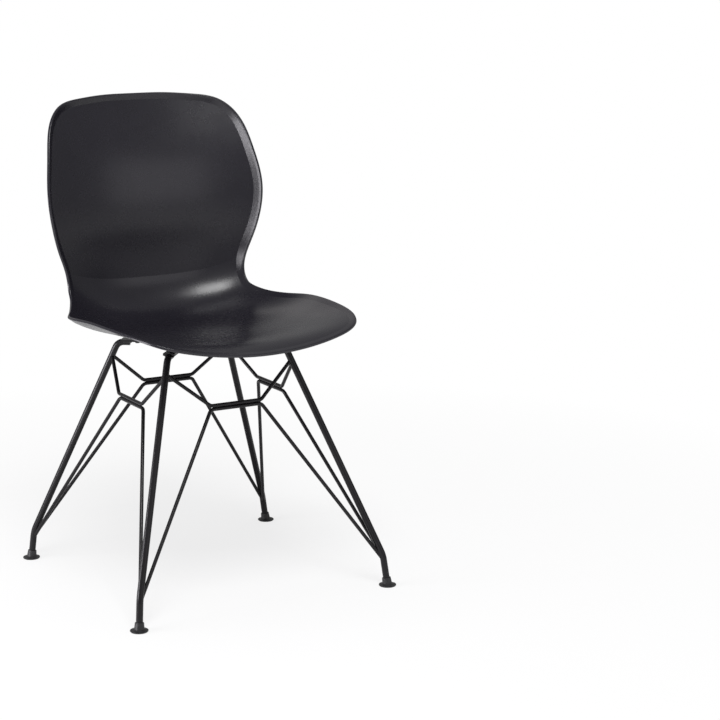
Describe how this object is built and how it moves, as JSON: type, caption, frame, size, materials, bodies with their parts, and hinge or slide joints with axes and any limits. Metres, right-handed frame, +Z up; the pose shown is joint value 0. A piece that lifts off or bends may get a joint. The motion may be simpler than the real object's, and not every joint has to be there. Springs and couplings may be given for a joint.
{
  "type": "side chair",
  "caption": "Side chair with a one-piece moulded plastic shell for seat and back on a welded base of bent steel rods and wires.",
  "frame": {"origin": "on the floor under the middle of the chair's bounding box", "axes": "+Z up, -Y the way the sitter faces, +X the sitter's left; millimetres in the source, metres here"},
  "size_m": [0.524, 0.542, 0.8492],
  "materials": {
    "shell_plastic": "satin black moulded plastic with a fine grain",
    "black_steel": "semi-gloss black powder coat",
    "foot_plastic": "plain black moulded plastic",
    "brass_insert": "plain machined brass",
    "screw_steel": "blackened steel"
  },
  "bodies": {
    "root": {"foot_back_left": "foot_plastic", "foot_back_right": "foot_plastic", "foot_front_left": "foot_plastic", "foot_front_right": "foot_plastic", "leg_back_left": "black_steel", "leg_back_right": "black_steel", "leg_front_left": "black_steel", "leg_front_right": "black_steel", "lower_wire_back": "black_steel", "lower_wire_front": "black_steel", "lower_wire_left": "black_steel", "lower_wire_right": "black_steel", "mount_plate_back_left": "black_steel", "mount_plate_back_right": "black_steel", "mount_plate_front_left": "black_steel", "mount_plate_front_right": "black_steel", "mounting_screws": "screw_steel", "seat_shell": "shell_plastic", "threaded_inserts": "brass_insert", "upper_wire_back": "black_steel", "upper_wire_front": "black_steel", "upper_wire_left": "black_steel", "upper_wire_right": "black_steel"}
  },
  "joints": []
}
